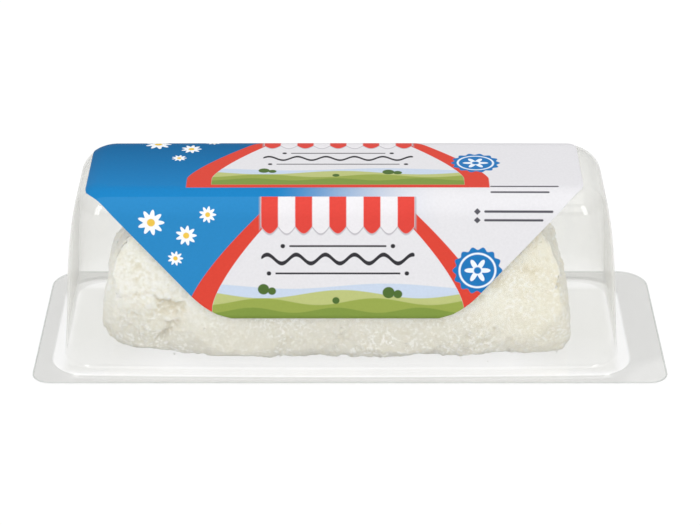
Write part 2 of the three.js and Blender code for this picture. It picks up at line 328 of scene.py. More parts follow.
def label_edges(across):
    """Where the label's left and right edges are at a distance across."""
    down = max(0.0, abs(across) - LABEL_SHOULDER) / (LABEL_BOTTOM - LABEL_SHOULDER)
    into = max(0.0, abs(across) - (LABEL_BOTTOM - LABEL_ROUNDING)) / LABEL_ROUNDING
    pulled_in = 0.75 * LABEL_ROUNDING * (1 - math.sqrt(max(0.0, 1 - into * into)))
    rounded = max(0.0, 1 - abs(abs(across) - LABEL_SHOULDER) / 2.4) ** 2 * 0.35
    left = blend(LABEL_LEFT, LABEL_BOTTOM_LEFT, down) + pulled_in + rounded
    right = blend(LABEL_RIGHT, LABEL_BOTTOM_RIGHT, down) - pulled_in - rounded
    return left, right


def label_mesh(materials):
    """The label as a grid that follows the dome. Each point keeps its place on the flat sheet."""
    # the rows lie close where the sheet folds and at its rounded bottom corners
    half = [1.5 * step for step in range(6)]
    half += [8.4 + 0.6 * step for step in range(25)]
    half += [22.8 + 1.6 * step + 0.8 for step in range(12)]
    half += [LABEL_BOTTOM - LABEL_ROUNDING * math.cos(math.pi / 2 * step / 9) for step in range(10)]
    acrosses = [-a for a in reversed(half[1:])] + half
    columns = 61
    shares = [0.5 - 0.5 * math.cos(math.pi * step / (columns - 1)) for step in range(columns)]
    vertices, places = [], []
    for across in acrosses:
        left, right = label_edges(across)
        for share in shares:
            x = blend(left, right, share)
            vertices.append(on_dome(x, across, LABEL_STANDS_OFF) * MM)
            places.append((x, across, 0.0))
    faces = []
    for row in range(len(acrosses) - 1):
        for column in range(columns - 1):
            first = row * columns + column
            faces.append((first, first + 1, first + columns + 1, first + columns))
    mesh = bpy.data.meshes.new("label_surface")
    mesh.from_pydata(vertices, [], faces)
    for material in materials:
        mesh.materials.append(material)
    attribute = mesh.attributes.new("sheet_place", "FLOAT_VECTOR", "POINT")
    attribute.data.foreach_set("vector", [value for place in places for value in place])
    mesh.shade_smooth()
    return thickened("label_paper", mesh, PAPER, 1)


# ---- the log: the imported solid's form, refined, with crumb, cracks and torn places in it

# Pits, smears and a crack in the curd's front, as (x, z, length, width, tilt in degrees, depth, stain).
PITS = (
    (-46.6, 9.2, 4.6, 1.0, 52.0, 1.7, 0.7),
    (-54.2, 30.0, 1.7, 0.9, 60.0, 0.4, 0.15),
    (-53.0, 27.8, 1.6, 0.8, 50.0, 0.5, 0.2),
    (-53.4, 24.6, 1.8, 0.9, 70.0, 0.5, 0.15),
    (-38.0, 22.0, 2.4, 0.9, 20.0, 0.6, 0.2),
    (36.0, 24.0, 2.6, 1.5, 15.0, 0.7, 0.5),
    (32.2, 20.2, 2.0, 1.2, 50.0, 0.6, 0.5),
    (44.0, 27.6, 4.6, 1.1, -8.0, 0.7, 0.1),
    (52.6, 23.4, 1.5, 1.0, -40.0, 0.9, 0.9),
    (49.2, 19.0, 5.0, 0.35, -5.0, 0.35, 0.1),
    (48.6, 17.6, 3.6, 0.3, -7.0, 0.3, 0.1),
    (3.5, 10.0, 1.1, 0.8, 0.0, 0.7, 0.3),
    (-16.0, 8.4, 1.5, 0.8, 30.0, 0.6, 0.2),
    (22.0, 9.0, 1.8, 0.8, -20.0, 0.6, 0.2),
)
# Torn ledges: the curd stands proud above a ragged line and is torn away below it, as
# (left x, left z, right x, right z, depth, how far down the torn face reaches).
LEDGES = (
    (-50.2, 20.4, -40.4, 18.4, 1.9, 6.0),
    (-47.2, 12.6, -42.0, 13.4, 1.1, 3.2),
    (-57.0, 15.4, -52.4, 14.6, 0.45, 3.0),
    (40.2, 22.2, 47.6, 23.6, 0.4, 5.0),
    (53.2, 24.6, 57.0, 22.6, 0.8, 4.0),
    (10.0, 12.2, 17.0, 11.4, 0.5, 3.0),
)


# How broad the curd's lumps, curds, grains, broken faces and finest crumbs are, and how far they stand out, in mm.
LUMP, CURD, GRAIN, FACET, FINE = 6.0, 3.1, 1.6, 2.6, 0.85
LUMP_OUT, CURD_OUT, GRAIN_OUT, FACET_OUT, FINE_OUT, MOST_OUT = 0.2, 0.24, 0.34, 0.36, 0.2, 0.35
# How far the dome presses the log: its front shoulder out and up, its front corners out and its top up, and how
# far its ends lean in, in front and behind, in mm.
SHOULDER_OUT, SHOULDER_UP, CORNER_OUT, WHOLE_TOP_UP = 6.0, 3.4, 2.2, 3.0
LEAN_IN_FRONT, LEAN_BEHIND = 0.9, 3.0
# The breadth of the log's faces, and how far it keeps from the dome's front wall and from the film, in mm.
LOG_FACE, WALL_CLEARANCE, FILM_CLEARANCE = 0.52, 0.5, 0.03


def torn(x, z, wobble):
    """How deep the curd is torn at a point of its front, and how stained it looks there."""
    depth, stain = 0.0, 0.0
    for middle_x, middle_z, length, width, tilt, cut, yellow in PITS:
        dx, dz = x - middle_x, z - middle_z
        if abs(dx) > 2.2 * length or abs(dz) > 2.2 * length:
            continue
        turn = math.radians(tilt)
        along = dx * math.cos(turn) + dz * math.sin(turn)
        across = -dx * math.sin(turn) + dz * math.cos(turn) + wobble * 0.8
        near = (along / length) ** 2 + (across / width) ** 2
        depth = max(depth, cut * math.exp(-1.6 * near))
        stain = max(stain, yellow * math.exp(-0.8 * near))
    for left_x, left_z, right_x, right_z, cut, reach in LEDGES:
        share = (x - left_x) / (right_x - left_x)
        if not 0.0 < share < 1.0:
            continue
        below = blend(left_z, right_z, share) + 1.3 * wobble - z
        ends = stretch(share, 0.0, 0.35) * (1 - stretch(share, 0.65, 1.0))
        depth = max(depth, cut * ends * stretch(below, -0.1, 0.5) * (1 - stretch(below, 0.5, reach)))
    return depth, stain


def front_wall(z):
    """Where the inside of the dome's front wall is at a height, without its swell."""
    return DOME_Y - FOOT_REACH_Y + WALL_INSET + SHEET + (z - SHELF_Z) * math.tan(DRAFT)


def squared(p):
    """The front shoulder under the label is pressed out to the wall, and the ends lean in at their tops."""
    near = stretch(DOME_Y - p.y, 3.0, 11.0)
    share = stretch(p.z, 21.0, 31.0) * near
    corner = stretch(abs(p.x), 44.0, 57.0) * stretch(p.z, 5.0, 22.0) * near
    behind = stretch(p.y - DOME_Y, -16.0, -8.0)
    right_lean = stretch(p.x, 36.0, 58.0) * blend(LEAN_IN_FRONT, LEAN_BEHIND, behind)
    left_lean = stretch(-p.x, 38.0, 58.0) * LEAN_BEHIND * behind
    rises = WHOLE_TOP_UP * stretch(p.z, 25.0, 33.0) * stretch(DOME_Y - p.y, -6.0, 12.0)
    return p + Vector((
        (left_lean - right_lean) * stretch(p.z, 24.0, 34.0),
        -SHOULDER_OUT * share - CORNER_OUT * corner,
        SHOULDER_UP * share + rises,
    ))


def log_mesh(packed):
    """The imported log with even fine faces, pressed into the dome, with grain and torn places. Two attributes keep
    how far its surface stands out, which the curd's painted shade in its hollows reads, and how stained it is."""
    raw = packed.copy()
    raw.data = packed.data.copy()
    raw.data.materials.clear()
    raw.parent = None
    scene.collection.objects.link(raw)
    merged = bmesh.new()
    merged.from_mesh(raw.data)
    bmesh.ops.remove_doubles(merged, verts=merged.verts, dist=0.01 * MM)
    merged.to_mesh(raw.data)
    merged.free()
    remesh = raw.modifiers.new("even_faces", "REMESH")
    remesh.mode = "VOXEL"
    remesh.voxel_size = LOG_FACE * MM
    remesh.use_smooth_shade = True
    mesh = evaluated_mesh(raw)

    normals = [v.normal.copy() for v in mesh.vertices]
    crumb_values, stain_values = [], []
    for vertex, normal in zip(mesh.vertices, normals):
        p = squared(vertex.co / MM)
        front = stretch(-normal.y, 0.0, 0.5)
        lumps = noise.noise(p / LUMP)
        curds = noise.fractal(p / CURD, 0.8, 2.1, 3)
        distances = noise.voronoi(p / GRAIN)[0]
        grain = min(distances[1] - distances[0], 0.8) - 0.35
        broken = noise.noise(7.0 * noise.voronoi(p / FACET)[1][0])
        fine = noise.noise(p / FINE)
        pressed = stretch(noise.noise(Vector((p.x / 15, p.y / 9, p.z / 7)) + Vector((3.1, 0, 0))), -0.1, 0.25)
        crumbly = blend(1.15, 0.45, pressed)
        depth, stain = torn(p.x, p.z, noise.noise(p / 1.5) + 0.5 * fine)
        crumbs = CURD_OUT * curds + GRAIN_OUT * grain + FACET_OUT * broken + FINE_OUT * fine
        out = LUMP_OUT * lumps + crumbly * crumbs
        if depth > 0.15:
            out += 0.45 * noise.noise(p / 1.3)
        out = min(MOST_OUT, out) - depth * front
        place = p + normal * out
        place.y = max(place.y, front_wall(place.z) + WALL_CLEARANCE)
        place.z = max(place.z, FILM_TOP + FILM_CLEARANCE)
        vertex.co = place * MM
        # how far the surface stands out, which the curd turns into painted shade in its hollows
        crumb_values.append(min(1.0, max(0.0, 0.6 + 0.7 * out + 0.15 * fine)))
        stain_values.append(stain * front)
    for name, values in (("crumb", crumb_values), ("stain", stain_values)):
        attribute = mesh.attributes.new(name, "FLOAT", "POINT")
        attribute.data.foreach_set("value", values)
    mesh.shade_smooth()
    return mesh


# ---- crumbs: Geometry Nodes strew them on the log and on the film beside it

def crumb_tree(name, on_film):
    """Irregular crumbs at random places on the surface that comes in. On the film they lie near the log."""
    tree = bpy.data.node_groups.new(name, "GeometryNodeTree")
    for socket, kind in (
        ("Geometry", "Geometry"), ("Log", "Object"), ("Crumb Size", "Float"), ("Crumbs Per Square Metre", "Float"),
        ("Reach From Log", "Float"), ("Seed", "Int"), ("Curd", "Material"),
    ):
        tree.interface.new_socket(socket, in_out="INPUT", socket_type="NodeSocket" + kind)
    tree.interface.new_socket("Geometry", in_out="OUTPUT", socket_type="NodeSocketGeometry")
    given = add(tree, "NodeGroupInput").outputs
    strewn = add(tree, "GeometryNodeDistributePointsOnFaces", {
        "Mesh": given["Geometry"], "Density": given["Crumbs Per Square Metre"], "Seed": given["Seed"],
    })
    points = strewn.outputs["Points"]
    if on_film:
        log_info = add(tree, "GeometryNodeObjectInfo", {"Object": given["Log"]})
        distance = add(tree, "GeometryNodeProximity", {0: log_info.outputs["Geometry"]}, target_element="FACES")
        # each crumb may lie up to its own chance distance away, and most of these are short
        chance = add(tree, "FunctionNodeRandomValue", {
            "Min": 0.0, "Max": given["Reach From Log"], "Seed": 11,
        }, data_type="FLOAT")
        spread = add(tree, "ShaderNodeMath", {0: chance.outputs[1], 1: 2.5}, operation="POWER")
        reach = add(tree, "ShaderNodeMath", {0: given["Reach From Log"], 1: 2.5}, operation="POWER")
        limit = add(tree, "ShaderNodeMath", {0: spread, 1: reach}, operation="DIVIDE")
        limit = add(tree, "ShaderNodeMath", {
            0: limit, 1: given["Reach From Log"],
        }, operation="MULTIPLY")
        too_far = add(tree, "FunctionNodeCompare", {
            0: distance.outputs["Distance"], 1: limit,
        }, data_type="FLOAT", operation="GREATER_THAN")
        points = add(tree, "GeometryNodeDeleteGeometry", {
            "Geometry": points, "Selection": too_far,
        }, domain="POINT")
    ball = add(tree, "GeometryNodeMeshIcoSphere", {"Radius": 0.5, "Subdivisions": 2})
    lump = add(tree, "ShaderNodeTexNoise", {"Scale": 2.6, "Detail": 2.0})
    lump = add(tree, "ShaderNodeVectorMath", {0: lump.outputs["Color"], 1: (0.5, 0.5, 0.5)}, operation="SUBTRACT")
    lump = add(tree, "ShaderNodeVectorMath", {0: lump, "Scale": 0.9}, operation="SCALE")
    crumb = add(tree, "GeometryNodeSetPosition", {"Geometry": ball.outputs["Mesh"], "Offset": lump})
    turn = add(tree, "FunctionNodeRandomValue", {
        0: (0.0, 0.0, 0.0), 1: (6.28, 6.28, 6.28), "Seed": 5,
    }, data_type="FLOAT_VECTOR")
    small = add(tree, "ShaderNodeMath", {0: given["Crumb Size"], 1: 0.3}, operation="MULTIPLY")
    size = add(tree, "FunctionNodeRandomValue", {
        2: small, 3: given["Crumb Size"], "Seed": 7,
    }, data_type="FLOAT")
    placed = add(tree, "GeometryNodeInstanceOnPoints", {
        "Points": points, "Instance": crumb, "Rotation": turn, "Scale": size.outputs[1],
    })
    real = add(tree, "GeometryNodeRealizeInstances", {0: placed})
    shaded = add(tree, "GeometryNodeSetMaterial", {"Geometry": real, "Material": given["Curd"]})
    add(tree, "NodeGroupOutput", {0: shaded})
    return tree


def strewn_crumbs(name, surface, on_film, values):
    """The crumbs that the tree strews on a surface, as a plain mesh."""
    raw = bpy.data.objects.new(name, surface)
    scene.collection.objects.link(raw)
    modifier = raw.modifiers.new("crumbs", "NODES")
    modifier.node_group = crumb_tree(name + "_tree", on_film)
    for item in modifier.node_group.interface.items_tree:
        if item.in_out == "INPUT" and item.name in values:
            modifier[item.identifier] = values[item.name]
    mesh = evaluated_mesh(raw)
    mesh.shade_smooth()
    return mesh


# ---- materials

WHITE = "ffffff"


def clear_sheet(name, clear, grazing, gloss_at_edge, roughness, ripple_width, ripple_height, haze=None,
                painted_shade_at_ends=None, unsealed=None):
    """A clear plastic skin: light passes straight through it, and it hazes and shines where seen edge on. Widths
    and heights are in millimetres. The haze is (seen face on, seen edge on)."""
    material, tree, output = new_material(name)
    facing = add(tree, "ShaderNodeLayerWeight", {"Blend": 0.5}).outputs["Facing"]
    edge = add(tree, "ShaderNodeMath", {0: facing, 1: 1.4}, operation="POWER")
    tint = laid_over(tree, clear, (grazing, edge))
    place = add(tree, "ShaderNodeTexCoord").outputs["Object"]
    if painted_shade_at_ends:
        # Painted shade: darker towards the two ends, within limits that each say where the shade starts and where it
        # is full.
        colour, limits = painted_shade_at_ends
        off = add(tree, "ShaderNodeVectorMath", {0: place, 1: (DOME_X * MM, DOME_Y * MM, 0.0)}, operation="SUBTRACT")
        away = add(tree, "ShaderNodeVectorMath", {0: off}, operation="ABSOLUTE")
        off, away = (add(tree, "ShaderNodeSeparateXYZ", {0: vector}).outputs for vector in (off, away))
        measures = {"along": away[0], "across": away[1], "behind": off[1], "up": off[2]}
        end = 1.0
        for measure, start, full in (("along", 44.0, 60.0), *limits):
            within = add(tree, "ShaderNodeMapRange", {0: measures[measure], 1: start * MM, 2: full * MM})
            end = add(tree, "ShaderNodeMath", {0: end, 1: within}, operation="MULTIPLY")
        tint = laid_over(tree, tint, (colour, end))
    if unsealed:
        corner_x, corner_y, reach, paler = unsealed
        away = add(tree, "ShaderNodeVectorMath", {
            0: place, 1: (corner_x * MM, corner_y * MM, FLANGE_TOP * MM),
        }, operation="DISTANCE").outputs["Value"]
        loose = add(tree, "ShaderNodeMapRange", {
            0: away, 1: (reach - 2.5) * MM, 2: (reach + 1.5) * MM, 3: 1.0, 4: 0.0,
        })
        tint = laid_over(tree, tint, (paler, loose))
    if haze:
        # The sheet was stretched least near the foot, where it is clearest.
        height = add(tree, "ShaderNodeSeparateXYZ", {0: place}).outputs[2]
        stretched = add(tree, "ShaderNodeMapRange", {0: height, 1: 2 * MM, 2: 11 * MM, 3: 0.2, 4: 1.0})
        tint = laid_over(tree, WHITE, (tint, stretched))
    # Light on its way to the cheese isn't dimmed a second time: real sheets pass it on by many reflections.
    shadow_ray = add(tree, "ShaderNodeLightPath").outputs["Is Shadow Ray"]
    tint = laid_over(tree, tint, (WHITE, shadow_ray))
    skin = add(tree, "ShaderNodeBsdfTransparent", {"Color": tint})
    if haze:
        # Where it was stretched it is slightly milky, more so the longer the way through it.
        milky = add(tree, "ShaderNodeMath", {0: facing, 1: 2.2}, operation="POWER")
        milky = add(tree, "ShaderNodeMath", {0: milky, 1: haze[1], 2: haze[0]}, operation="MULTIPLY_ADD")
        milky = add(tree, "ShaderNodeMath", {0: milky, 1: stretched}, operation="MULTIPLY")
        seen = add(tree, "ShaderNodeMath", {0: 1.0, 1: shadow_ray}, operation="SUBTRACT")
        milky = add(tree, "ShaderNodeMath", {0: milky, 1: seen}, operation="MULTIPLY")
        milk = add(tree, "ShaderNodeBsdfDiffuse", {"Color": srgb("f5f5f3")})
        skin = add(tree, "ShaderNodeMixShader", {0: milky, 1: skin, 2: milk})
    # Ripples run up the walls, as the sheet is drawn upwards in the mould.
    drawn = add(tree, "ShaderNodeVectorMath", {0: place, 1: (1.0, 1.0, 0.4)}, operation="MULTIPLY")
    ripple = add(tree, "ShaderNodeTexNoise", {"Vector": drawn, "Scale": 1 / (ripple_width * MM), "Detail": 1.0})
    bump = add(tree, "ShaderNodeBump", {"Height": ripple, "Distance": ripple_height * MM, "Strength": 1.0})
    gloss = add(tree, "ShaderNodeBsdfGlossy", {"Color": srgb(WHITE), "Roughness": roughness, "Normal": bump})
    # clear plastic mirrors 4 to 5 per cent face on
    rise = add(tree, "ShaderNodeMath", {0: facing, 1: 4.0}, operation="POWER")
    share = add(tree, "ShaderNodeMath", {0: rise, 1: gloss_at_edge, 2: 0.045}, operation="MULTIPLY_ADD")
    skin = add(tree, "ShaderNodeMixShader", {0: share, 1: skin, 2: gloss})
    tree.links.new(skin.outputs[0], output.inputs["Surface"])
    return material


# The curd's patterns in mm: broad tones, patches pressed smooth, flakes, specks and grit.
TONE, PRESSED, FLAKE, SPECK, GRIT = 9.0, 11.0, 1.3, 0.9, 0.6


def goat_curd(name, deepens):
    """Fresh lactic curd, pressed by hand: matt and moist, ivory on its crests, with painted shade in a creamy tint in
    its hollows.
    """
    material, tree, output = new_material(name)
    place = add(tree, "ShaderNodeTexCoord").outputs["Object"]
    tone, pressed, specks, grit = (
        add(tree, "ShaderNodeTexNoise", {
            "Vector": place, "Scale": 1 / (width * MM), "Detail": detail, "Roughness": roughness,
        })
        for width, detail, roughness in ((TONE, 3.0, 0.5), (PRESSED, 2.0, 0.5), (SPECK, 3.0, 0.5), (GRIT, 4.0, 0.65))
    )
    tone = add(tree, "ShaderNodeMapRange", {0: tone, 1: 0.36, 2: 0.64})
    colour = laid_over(tree, "f7f5eb", ("fcfaf2", tone))
    if deepens:
        # painted shade: the curd is darker and creamier where its surface lies low, in its hollows
        crumb = add(tree, "ShaderNodeAttribute", attribute_name="crumb").outputs["Fac"]
        painted_shade_in_hollows = add(tree, "ShaderNodeMapRange", {0: crumb, 1: 0.5, 2: 0.0, 3: 0.0, 4: 0.9})
        stain = add(tree, "ShaderNodeAttribute", attribute_name="stain").outputs["Fac"]
        stain = add(tree, "ShaderNodeMath", {0: stain, 1: 0.6}, operation="MULTIPLY")
        # the right end is creamier, and low down the curd is darker and greyer with painted shade, which fades
        # towards the right end
        parts = add(tree, "ShaderNodeSeparateXYZ", {0: place})
        cream = add(tree, "ShaderNodeMapRange", {0: parts.outputs[0], 1: 28 * MM, 2: 46 * MM, 3: 0.0, 4: 0.4})
        painted_shade_low = add(tree, "ShaderNodeMapRange", {0: parts.outputs[2], 1: 19 * MM, 2: 8 * MM, 3: 0.0, 4: 0.85})
        less_shade_at_right = add(tree, "ShaderNodeMath", {0: cream, 1: -1.5, 2: 1.0}, operation="MULTIPLY_ADD")
        painted_shade_low = add(tree, "ShaderNodeMath", {0: painted_shade_low, 1: less_shade_at_right}, operation="MULTIPLY")
        colour = laid_over(tree, colour, ("e0d7be", painted_shade_in_hollows), ("d2c59f", stain), ("ede5cc", cream), ("dfdcd0", painted_shade_low))
    # crumbly places show every grain, light and dull, and places pressed smooth show few
    loose = add(tree, "ShaderNodeMapRange", {0: pressed, 1: 0.4, 2: 0.6, 3: 0.3, 4: 0.78})
    flecks = add(tree, "ShaderNodeMapRange", {0: specks, 1: 0.54, 2: 0.6, 3: 0.0, 4: loose})
    dull = add(tree, "ShaderNodeMath", {0: loose, 1: 0.55}, operation="MULTIPLY")
    dull = add(tree, "ShaderNodeMapRange", {0: specks, 1: 0.46, 2: 0.36, 3: 0.0, 4: dull})
    colour = laid_over(tree, colour, ("fffefa", flecks), ("dcd6c2", dull))
    flakes = add(tree, "ShaderNodeTexVoronoi", {"Vector": place, "Scale": 1 / (FLAKE * MM)}, feature="F1")
    flakes = flakes.outputs["Distance"]
    relief = add(tree, "ShaderNodeMath", {0: flakes, 1: -0.45, 2: grit}, operation="MULTIPLY_ADD")
    bump = add(tree, "ShaderNodeBump", {"Height": relief, "Distance": 0.2 * MM, "Strength": 0.8})
    shader = add(tree, "ShaderNodeBsdfPrincipled", {
        "Base Color": colour, "Roughness": 0.5, "IOR": 1.42, "Subsurface Weight": 0.7,
        "Subsurface Radius": (1.0, 0.92, 0.78), "Subsurface Scale": 1.4 * MM, "Normal": bump,
    })
    tree.links.new(shader.outputs[0], output.inputs["Surface"])
    return material


def printed_patch(tree, place, centre, half, rounding, tilt=0.0, soft=0.1):
    """Where a rounded patch of ink lies on the flat sheet, from 0 outside it to 1 inside. Millimetres."""
    rounding = max(rounding, soft * 1.5)
    local = add(tree, "ShaderNodeMapping", {
        "Vector": place, "Location": (*centre, 0.0), "Rotation": (0.0, 0.0, math.radians(tilt)),
    }, vector_type="TEXTURE")
    local = add(tree, "ShaderNodeVectorMath", {0: local}, operation="ABSOLUTE")
    core = (half[0] - rounding, half[1] - rounding, 1.0)
    local = add(tree, "ShaderNodeVectorMath", {0: local, 1: core}, operation="SUBTRACT")
    local = add(tree, "ShaderNodeVectorMath", {0: local, 1: (0.0, 0.0, 0.0)}, operation="MAXIMUM")
    away = add(tree, "ShaderNodeVectorMath", {0: local}, operation="LENGTH")
    return add(tree, "ShaderNodeMapRange", {
        0: away.outputs["Value"], 1: rounding - soft, 2: rounding + soft, 3: 1.0, 4: 0.0,
    })


def printed_edge(tree, beyond, soft=0.12):
    """1 where the distance beyond a printed edge is below zero, and 0 past the edge. Millimetres."""
    return add(tree, "ShaderNodeMapRange", {0: beyond, 1: -soft, 2: soft, 3: 1.0, 4: 0.0})


def printed_flower(tree, place, centre, radius, petals, depth):
    """A round flower or rosette whose rim swells once for each petal. Millimetres."""
    local = add(tree, "ShaderNodeMapping", {"Vector": place, "Location": (*centre, 0.0)}, vector_type="TEXTURE")
    away = add(tree, "ShaderNodeVectorMath", {0: local}, operation="LENGTH").outputs["Value"]
    parts = add(tree, "ShaderNodeSeparateXYZ", {0: local})
    turn = add(tree, "ShaderNodeMath", {0: parts.outputs[1], 1: parts.outputs[0]}, operation="ARCTAN2")
    turn = add(tree, "ShaderNodeMath", {0: turn, 1: float(petals)}, operation="MULTIPLY")
    swell = add(tree, "ShaderNodeMath", {0: turn}, operation="COSINE")
    mean_radius = radius * (1 - depth)
    rim = add(tree, "ShaderNodeMath", {0: swell, 1: depth * radius, 2: mean_radius}, operation="MULTIPLY_ADD")
    beyond = add(tree, "ShaderNodeMath", {0: away, 1: rim}, operation="SUBTRACT")
    return printed_edge(tree, beyond)


def wave_line(tree, along, start, swell, length):
    """A height that rises and falls along the sheet, for a hill's ridge or a flourish."""
    angle = add(tree, "ShaderNodeMath", {0: along, 1: 2 * math.pi / length, 2: start}, operation="MULTIPLY_ADD")
    sine = add(tree, "ShaderNodeMath", {0: angle}, operation="SINE")
    return add(tree, "ShaderNodeMath", {0: sine, 1: swell}, operation="MULTIPLY")


# Where the print changes from the top panel to the flaps, and each panel's own middle, in mm across.
PRINT_FOLD, FLAP_MIDDLE, TOP_MIDDLE, TOP_SQUEEZE = 15.6, 33.8, 2.2, 1.13
# The gable that holds the white panel: its middle, how far it reaches each way at its eaves and at its top,
# the heights of the two, and how broad its red edge is at each. The awning hangs at its top.
GABLE_X, EAVES_REACH, TOP_REACH, EAVES_UP, TOP_UP = -3.0, 37.5, 16.0, -11.0, 17.0
RED_AT_EAVES, RED_AT_TOP, RED_AT_SILL, SILL_UP = 6.2, 3.8, 1.7, -16.6
AWNING_REACH, AWNING_UP, STRIPE, SCALLOP = 18.9, 10.6, 4.2, 1.9
WHITE_INK, RED_INK, DARK_INK, GREY_INK, GREEN_INK = "dddcdf", "d54537", "343337", "55545b", "4f6b34"
DAISY_INK, DAISY_HEART_INK, ROSETTE_INK, ROSETTE_PALE_INK = "eef1f5", "e6bf4c", "2173b4", "e6edf5"


def printed_paper():
    """White paper with a satin varnish over its inks, so that it shows soft light near the folds."""
    material, tree, output = new_material("varnished_printed_paper")
    sheet = add(tree, "ShaderNodeAttribute", attribute_name="sheet_place").outputs["Vector"]
    parts = add(tree, "ShaderNodeSeparateXYZ", {0: sheet})
    along, across = parts.outputs[0], parts.outputs[1]
    out = add(tree, "ShaderNodeMath", {0: across}, operation="ABSOLUTE")
    flap = add(tree, "ShaderNodeMath", {0: out, 1: PRINT_FOLD}, operation="GREATER_THAN")
    up_flap = add(tree, "ShaderNodeMath", {0: FLAP_MIDDLE, 1: out}, operation="SUBTRACT")
    up_top = add(tree, "ShaderNodeMath", {
        0: across, 1: TOP_SQUEEZE, 2: -TOP_MIDDLE * TOP_SQUEEZE,
    }, operation="MULTIPLY_ADD")
    up = add(tree, "ShaderNodeMix", {0: flap, 2: up_top, 3: up_flap}, data_type="FLOAT")
    place = add(tree, "ShaderNodeCombineXYZ", {0: along, 1: up})

    # the field, blue at the left and pale at the right, and a deeper blue towards the back of the top
    far = add(tree, "ShaderNodeMapRange", {0: across, 1: -13.0, 2: 15.0})
    on_top = add(tree, "ShaderNodeMath", {0: 1.0, 1: flap}, operation="SUBTRACT")
    far = add(tree, "ShaderNodeMath", {0: far, 1: on_top}, operation="MULTIPLY")
    fade = add(tree, "ShaderNodeMapRange", {0: along, 1: -20.0, 2: 24.0}, interpolation_type="SMOOTHSTEP")
    colour = laid_over(tree, "167cba", ("005c90", far), ("2a83bd", flap), (WHITE_INK, fade))

    # the white gable and its red edge
    climb = add(tree, "ShaderNodeMapRange", {0: up, 1: EAVES_UP, 2: TOP_UP})
    bend = add(tree, "ShaderNodeMath", {0: climb, 1: 1.35}, operation="POWER")
    reach = add(tree, "ShaderNodeMapRange", {0: bend, 3: EAVES_REACH, 4: TOP_REACH})
    from_middle = add(tree, "ShaderNodeMath", {0: along, 1: GABLE_X}, operation="SUBTRACT")
    from_middle = add(tree, "ShaderNodeMath", {0: from_middle}, operation="ABSOLUTE")
    beyond = add(tree, "ShaderNodeMath", {0: from_middle, 1: reach}, operation="SUBTRACT")
    sill = add(tree, "ShaderNodeMath", {0: SILL_UP, 1: up}, operation="SUBTRACT")
    outline = add(tree, "ShaderNodeMath", {0: beyond, 1: sill}, operation="MAXIMUM")
    colour = laid_over(tree, colour, (RED_INK, printed_edge(tree, outline)))
    red_width = add(tree, "ShaderNodeMapRange", {0: climb, 3: RED_AT_EAVES, 4: RED_AT_TOP})
    inner = add(tree, "ShaderNodeMath", {0: beyond, 1: red_width}, operation="ADD")
    inner_sill = add(tree, "ShaderNodeMath", {0: sill, 1: RED_AT_SILL}, operation="ADD")
    inner = add(tree, "ShaderNodeMath", {0: inner, 1: inner_sill}, operation="MAXIMUM")
    white_panel = printed_edge(tree, inner)
    colour = laid_over(tree, colour, (WHITE_INK, white_panel))

    # low fields along the foot of the panel
    for ink, base, start, swell, length in (
        ("c3d0e2", -5.2, 0.4, 0.7, 47.0), ("b7be7b", -7.3, 1.9, 1.1, 39.0), ("94a34e", -9.3, 0.2, 0.9, 28.0),
        ("7d9342", -11.6, 2.6, 0.7, 21.0),
    ):
        ridge = wave_line(tree, along, start, swell, length)
        height = add(tree, "ShaderNodeMath", {0: up, 1: base}, operation="SUBTRACT")
        above = add(tree, "ShaderNodeMath", {0: height, 1: ridge}, operation="SUBTRACT")
        ground = add(tree, "ShaderNodeMath", {
            0: printed_edge(tree, above), 1: white_panel,
        }, operation="MULTIPLY")
        colour = laid_over(tree, colour, (ink, ground))
    for bush_x, bush_up, size in (
        (-21.5, -6.0, 1.4), (-19.4, -6.5, 1.0), (9.6, -6.9, 1.5), (11.9, -7.3, 1.1), (-3.5, -9.0, 0.9),
    ):
        bush = printed_patch(tree, place, (bush_x, bush_up), (size, size), size)
        colour = laid_over(tree, colour, (GREEN_INK, bush))

    # a striped awning with a scalloped hem, hung from the fold
    stripe = add(tree, "ShaderNodeMath", {
        0: from_middle, 1: math.pi / STRIPE, 2: math.pi / 2,
    }, operation="MULTIPLY_ADD")
    stripe = add(tree, "ShaderNodeMath", {0: stripe}, operation="SINE")
    scallop = add(tree, "ShaderNodeMath", {0: stripe}, operation="ABSOLUTE")
    hem = add(tree, "ShaderNodeMath", {0: scallop, 1: -SCALLOP, 2: AWNING_UP}, operation="MULTIPLY_ADD")
    below_hem = add(tree, "ShaderNodeMath", {0: hem, 1: up}, operation="SUBTRACT")
    aside = add(tree, "ShaderNodeMath", {0: from_middle, 1: AWNING_REACH}, operation="SUBTRACT")
    awning = add(tree, "ShaderNodeMath", {0: below_hem, 1: aside}, operation="MAXIMUM")
    shade = add(tree, "ShaderNodeMath", {0: awning, 1: 0.35}, operation="SUBTRACT")
    colour = laid_over(tree, colour, ("a8a4ab", printed_edge(tree, shade, soft=0.3)))
    awning = printed_edge(tree, awning)
    colour = laid_over(tree, colour, ("e3e1e4", awning))
    red_stripe = add(tree, "ShaderNodeMapRange", {0: stripe, 1: -0.1, 2: 0.1})
    red_stripe = add(tree, "ShaderNodeMath", {0: red_stripe, 1: awning}, operation="MULTIPLY")
    colour = laid_over(tree, colour, ("d8463d", red_stripe))

    # a dark flourish between two fine rules
    swing = wave_line(tree, along, 0.6, 1.15, 7.2)
    swing = add(tree, "ShaderNodeMath", {0: up, 1: swing}, operation="SUBTRACT")
    swung = add(tree, "ShaderNodeCombineXYZ", {0: along, 1: swing})
    dark = [printed_patch(tree, swung, (GABLE_X, 2.0), (19.0, 0.55), 0.5)]
    for rule_up, rule_reach in ((5.4, 12.0), (-1.8, 15.5)):
        dark.append(printed_patch(tree, place, (GABLE_X, rule_up), (rule_reach, 0.24), 0.2))
        for side in (-1, 1):
            dot = (GABLE_X + side * (rule_reach + 1.6), rule_up)
            dark.append(printed_patch(tree, place, dot, (0.55, 0.55), 0.5))
    colour = laid_over(tree, colour, *((DARK_INK, mask) for mask in dark))

